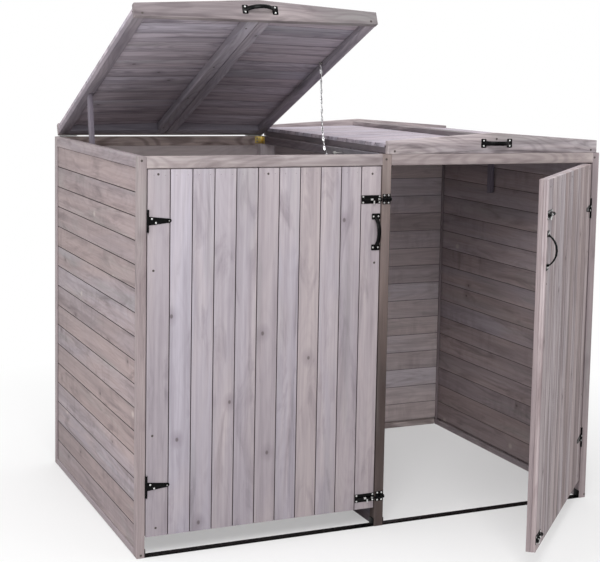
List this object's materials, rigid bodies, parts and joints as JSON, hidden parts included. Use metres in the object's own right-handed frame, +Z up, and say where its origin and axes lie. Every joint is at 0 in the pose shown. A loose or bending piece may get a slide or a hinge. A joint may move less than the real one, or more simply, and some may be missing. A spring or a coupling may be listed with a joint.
{
  "type": "wheelie bin store",
  "caption": "Timber store for two wheelie bins, with boarded sides and back, hinged front doors on barrel bolts, and low gabled lids on props and chains.",
  "frame": {"origin": "centre of the footprint on the floor, under the divider's lower rail", "axes": "+Z up, +Y from the doors to the back, +X to the right as seen from the front"},
  "size_m": [1.58, 1.61, 1.6397],
  "materials": {
    "body_wood": "weathered, sawn and planed softwood",
    "lid_wood": "weathered, dark stained softwood",
    "black_japanned": "satin black",
    "hinge_zinc": "zinc plated",
    "chain_zinc": "zinc plated",
    "yellow_zinc": "yellow zinc plated",
    "floor_bar_steel": "dull"
  },
  "bodies": {
    "frame": {"side_stiles": "body_wood", "side_rails": "body_wood", "side_boards_left": "body_wood", "side_boards_right": "body_wood", "post_front_middle": "body_wood", "post_rear_middle": "body_wood", "front_rails": "body_wood", "divider_rails": "body_wood", "back_rails": "body_wood", "back_boards": "body_wood", "divider_bracket": "yellow_zinc", "threshold_bars": "floor_bar_steel", "bolt_keepers": "black_japanned", "frame_door_hinge_leaves": "black_japanned", "frame_lid_hinge_leaves": "hinge_zinc", "hinge_pins": "hinge_zinc", "chain_anchor_eyes": "chain_zinc", "prop_screws": "hinge_zinc"},
    "door_left": {"door_left_boards": "body_wood", "door_left_back_frame": "body_wood", "door_left_hinge_straps": "black_japanned", "door_left_bolt_plates": "black_japanned", "door_left_handle": "black_japanned"},
    "door_right": {"door_right_boards": "body_wood", "door_right_back_frame": "body_wood", "door_right_hinge_straps": "black_japanned", "door_right_bolt_plates": "black_japanned", "door_right_handle": "black_japanned"},
    "lid_left": {"lid_left_fascias": "lid_wood", "lid_left_battens": "lid_wood", "lid_left_rafters": "lid_wood", "lid_left_roof_boards": "lid_wood", "lid_left_ridge_batten": "lid_wood", "lid_left_hinge_leaves": "hinge_zinc", "lid_left_handle": "black_japanned", "lid_left_chain_eye": "hinge_zinc"},
    "lid_right": {"lid_right_fascias": "lid_wood", "lid_right_battens": "lid_wood", "lid_right_rafters": "lid_wood", "lid_right_roof_boards": "lid_wood", "lid_right_ridge_batten": "lid_wood", "lid_right_hinge_leaves": "hinge_zinc", "lid_right_handle": "black_japanned", "lid_right_chain_eye": "hinge_zinc"},
    "bolt_left_upper": {"bolt_left_upper": "black_japanned"},
    "bolt_left_lower": {"bolt_left_lower": "black_japanned"},
    "prop_left": {"prop_left": "lid_wood"},
    "chain_left_1": {"chain_left_1": "chain_zinc"},
    "chain_left_2": {"chain_left_2": "chain_zinc"},
    "chain_left_3": {"chain_left_3": "chain_zinc"},
    "chain_left_4": {"chain_left_4": "chain_zinc"},
    "chain_left_5": {"chain_left_5": "chain_zinc"},
    "bolt_right_upper": {"bolt_right_upper": "black_japanned"},
    "bolt_right_lower": {"bolt_right_lower": "black_japanned"},
    "prop_right": {"prop_right": "lid_wood"},
    "chain_right_1": {"chain_right_1": "chain_zinc"},
    "chain_right_2": {"chain_right_2": "chain_zinc"},
    "chain_right_3": {"chain_right_3": "chain_zinc"},
    "chain_right_4": {"chain_right_4": "chain_zinc"},
    "chain_right_5": {"chain_right_5": "chain_zinc"}
  },
  "joints": [
    {"name": "door_left_swing", "type": "hinge", "parent": "frame", "child": "door_left", "pos_m": [-0.76275, -0.52325, 0], "axis": [0, 0, -1], "range_deg": [0, 110]},
    {"name": "door_right_swing", "type": "hinge", "parent": "frame", "child": "door_right", "pos_m": [0.76275, -0.52325, 0], "axis": [0, 0, 1], "range_deg": [-45.5, 64.5]},
    {"name": "lid_left_lift", "type": "hinge", "parent": "frame", "child": "lid_left", "pos_m": [0, 0.52325, 1.18325], "axis": [-1, 0, 0], "range_deg": [-22.5, 0]},
    {"name": "lid_right_lift", "type": "hinge", "parent": "frame", "child": "lid_right", "pos_m": [0, 0.52325, 1.18325], "axis": [-1, 0, 0], "range_deg": [0, 22.5]},
    {"name": "bolt_left_upper_slide", "type": "slide", "parent": "door_left", "child": "bolt_left_upper", "axis": [1, 0, 0], "range_m": [0, 0.017]},
    {"name": "bolt_right_upper_slide", "type": "slide", "parent": "door_right", "child": "bolt_right_upper", "axis": [-0.7009, -0.7133, 0], "range_m": [0, 0.017]},
    {"name": "bolt_left_lower_slide", "type": "slide", "parent": "door_left", "child": "bolt_left_lower", "axis": [1, 0, 0], "range_m": [0, 0.017]},
    {"name": "bolt_right_lower_slide", "type": "slide", "parent": "door_right", "child": "bolt_right_lower", "axis": [-0.7009, -0.7133, 0], "range_m": [0, 0.017]},
    {"name": "prop_left_swing", "type": "hinge", "parent": "frame", "child": "prop_left", "pos_m": [-0.76, 0.115, 1.163], "axis": [-1, 0, 0], "range_deg": [-192, 0]},
    {"name": "chain_left_1_fold", "type": "hinge", "parent": "lid_left", "child": "chain_left_1", "pos_m": [-0.046, -0.10518, 1.45086], "axis": [1, 0, 0], "range_deg": [-9.79, 0]},
    {"name": "chain_left_2_fold", "type": "hinge", "parent": "chain_left_1", "child": "chain_left_2", "pos_m": [-0.046, -0.12525, 1.25991], "axis": [1, 0, 0], "range_deg": [-94.71, 0]},
    {"name": "chain_left_3_fold", "type": "hinge", "parent": "chain_left_2", "child": "chain_left_3", "pos_m": [-0.046, -0.1297, 1.22822], "axis": [1, 0, 0], "range_deg": [-58, 0]},
    {"name": "chain_left_4_fold", "type": "hinge", "parent": "chain_left_3", "child": "chain_left_4", "pos_m": [-0.046, -0.15159, 1.16808], "axis": [1, 0, 0], "range_deg": [0, 24.48]},
    {"name": "chain_left_5_fold", "type": "hinge", "parent": "chain_left_4", "child": "chain_left_5", "pos_m": [-0.046, -0.20024, 1.1265], "axis": [1, 0, 0], "range_deg": [0, 103.93]},
    {"name": "prop_right_swing", "type": "hinge", "parent": "frame", "child": "prop_right", "pos_m": [0.76, 0.115, 1.163], "axis": [-1, 0, 0], "range_deg": [0, 192]},
    {"name": "chain_right_1_fold", "type": "hinge", "parent": "lid_right", "child": "chain_right_1", "pos_m": [0.046, -0.15975, 1.19], "axis": [1, 0, 0], "range_deg": [0, 9.79]},
    {"name": "chain_right_2_fold", "type": "hinge", "parent": "chain_right_1", "child": "chain_right_2", "pos_m": [0.046, -0.13732, 0.99931], "axis": [1, 0, 0], "range_deg": [0, 94.71]},
    {"name": "chain_right_3_fold", "type": "hinge", "parent": "chain_right_2", "child": "chain_right_3", "pos_m": [0.046, -0.16932, 0.99931], "axis": [1, 0, 0], "range_deg": [0, 58]},
    {"name": "chain_right_4_fold", "type": "hinge", "parent": "chain_right_3", "child": "chain_right_4", "pos_m": [0.046, -0.19121, 1.05946], "axis": [1, 0, 0], "range_deg": [-24.48, 0]},
    {"name": "chain_right_5_fold", "type": "hinge", "parent": "chain_right_4", "child": "chain_right_5", "pos_m": [0.046, -0.20777, 1.12127], "axis": [1, 0, 0], "range_deg": [-103.93, 0]}
  ],
  "couplings": [
    {"joint": "prop_left_swing", "follows": "lid_left_lift", "ratio": 8.5333},
    {"joint": "chain_left_1_fold", "follows": "lid_left_lift", "ratio": 0.43514},
    {"joint": "chain_left_2_fold", "follows": "lid_left_lift", "ratio": 4.2093},
    {"joint": "chain_left_3_fold", "follows": "lid_left_lift", "ratio": 2.5778},
    {"joint": "chain_left_4_fold", "follows": "lid_left_lift", "ratio": -1.088},
    {"joint": "chain_left_5_fold", "follows": "lid_left_lift", "ratio": -4.6192},
    {"joint": "prop_right_swing", "follows": "lid_right_lift", "ratio": 8.5333},
    {"joint": "chain_right_1_fold", "follows": "lid_right_lift", "ratio": 0.43514},
    {"joint": "chain_right_2_fold", "follows": "lid_right_lift", "ratio": 4.2093},
    {"joint": "chain_right_3_fold", "follows": "lid_right_lift", "ratio": 2.5778},
    {"joint": "chain_right_4_fold", "follows": "lid_right_lift", "ratio": -1.088},
    {"joint": "chain_right_5_fold", "follows": "lid_right_lift", "ratio": -4.6192}
  ]
}
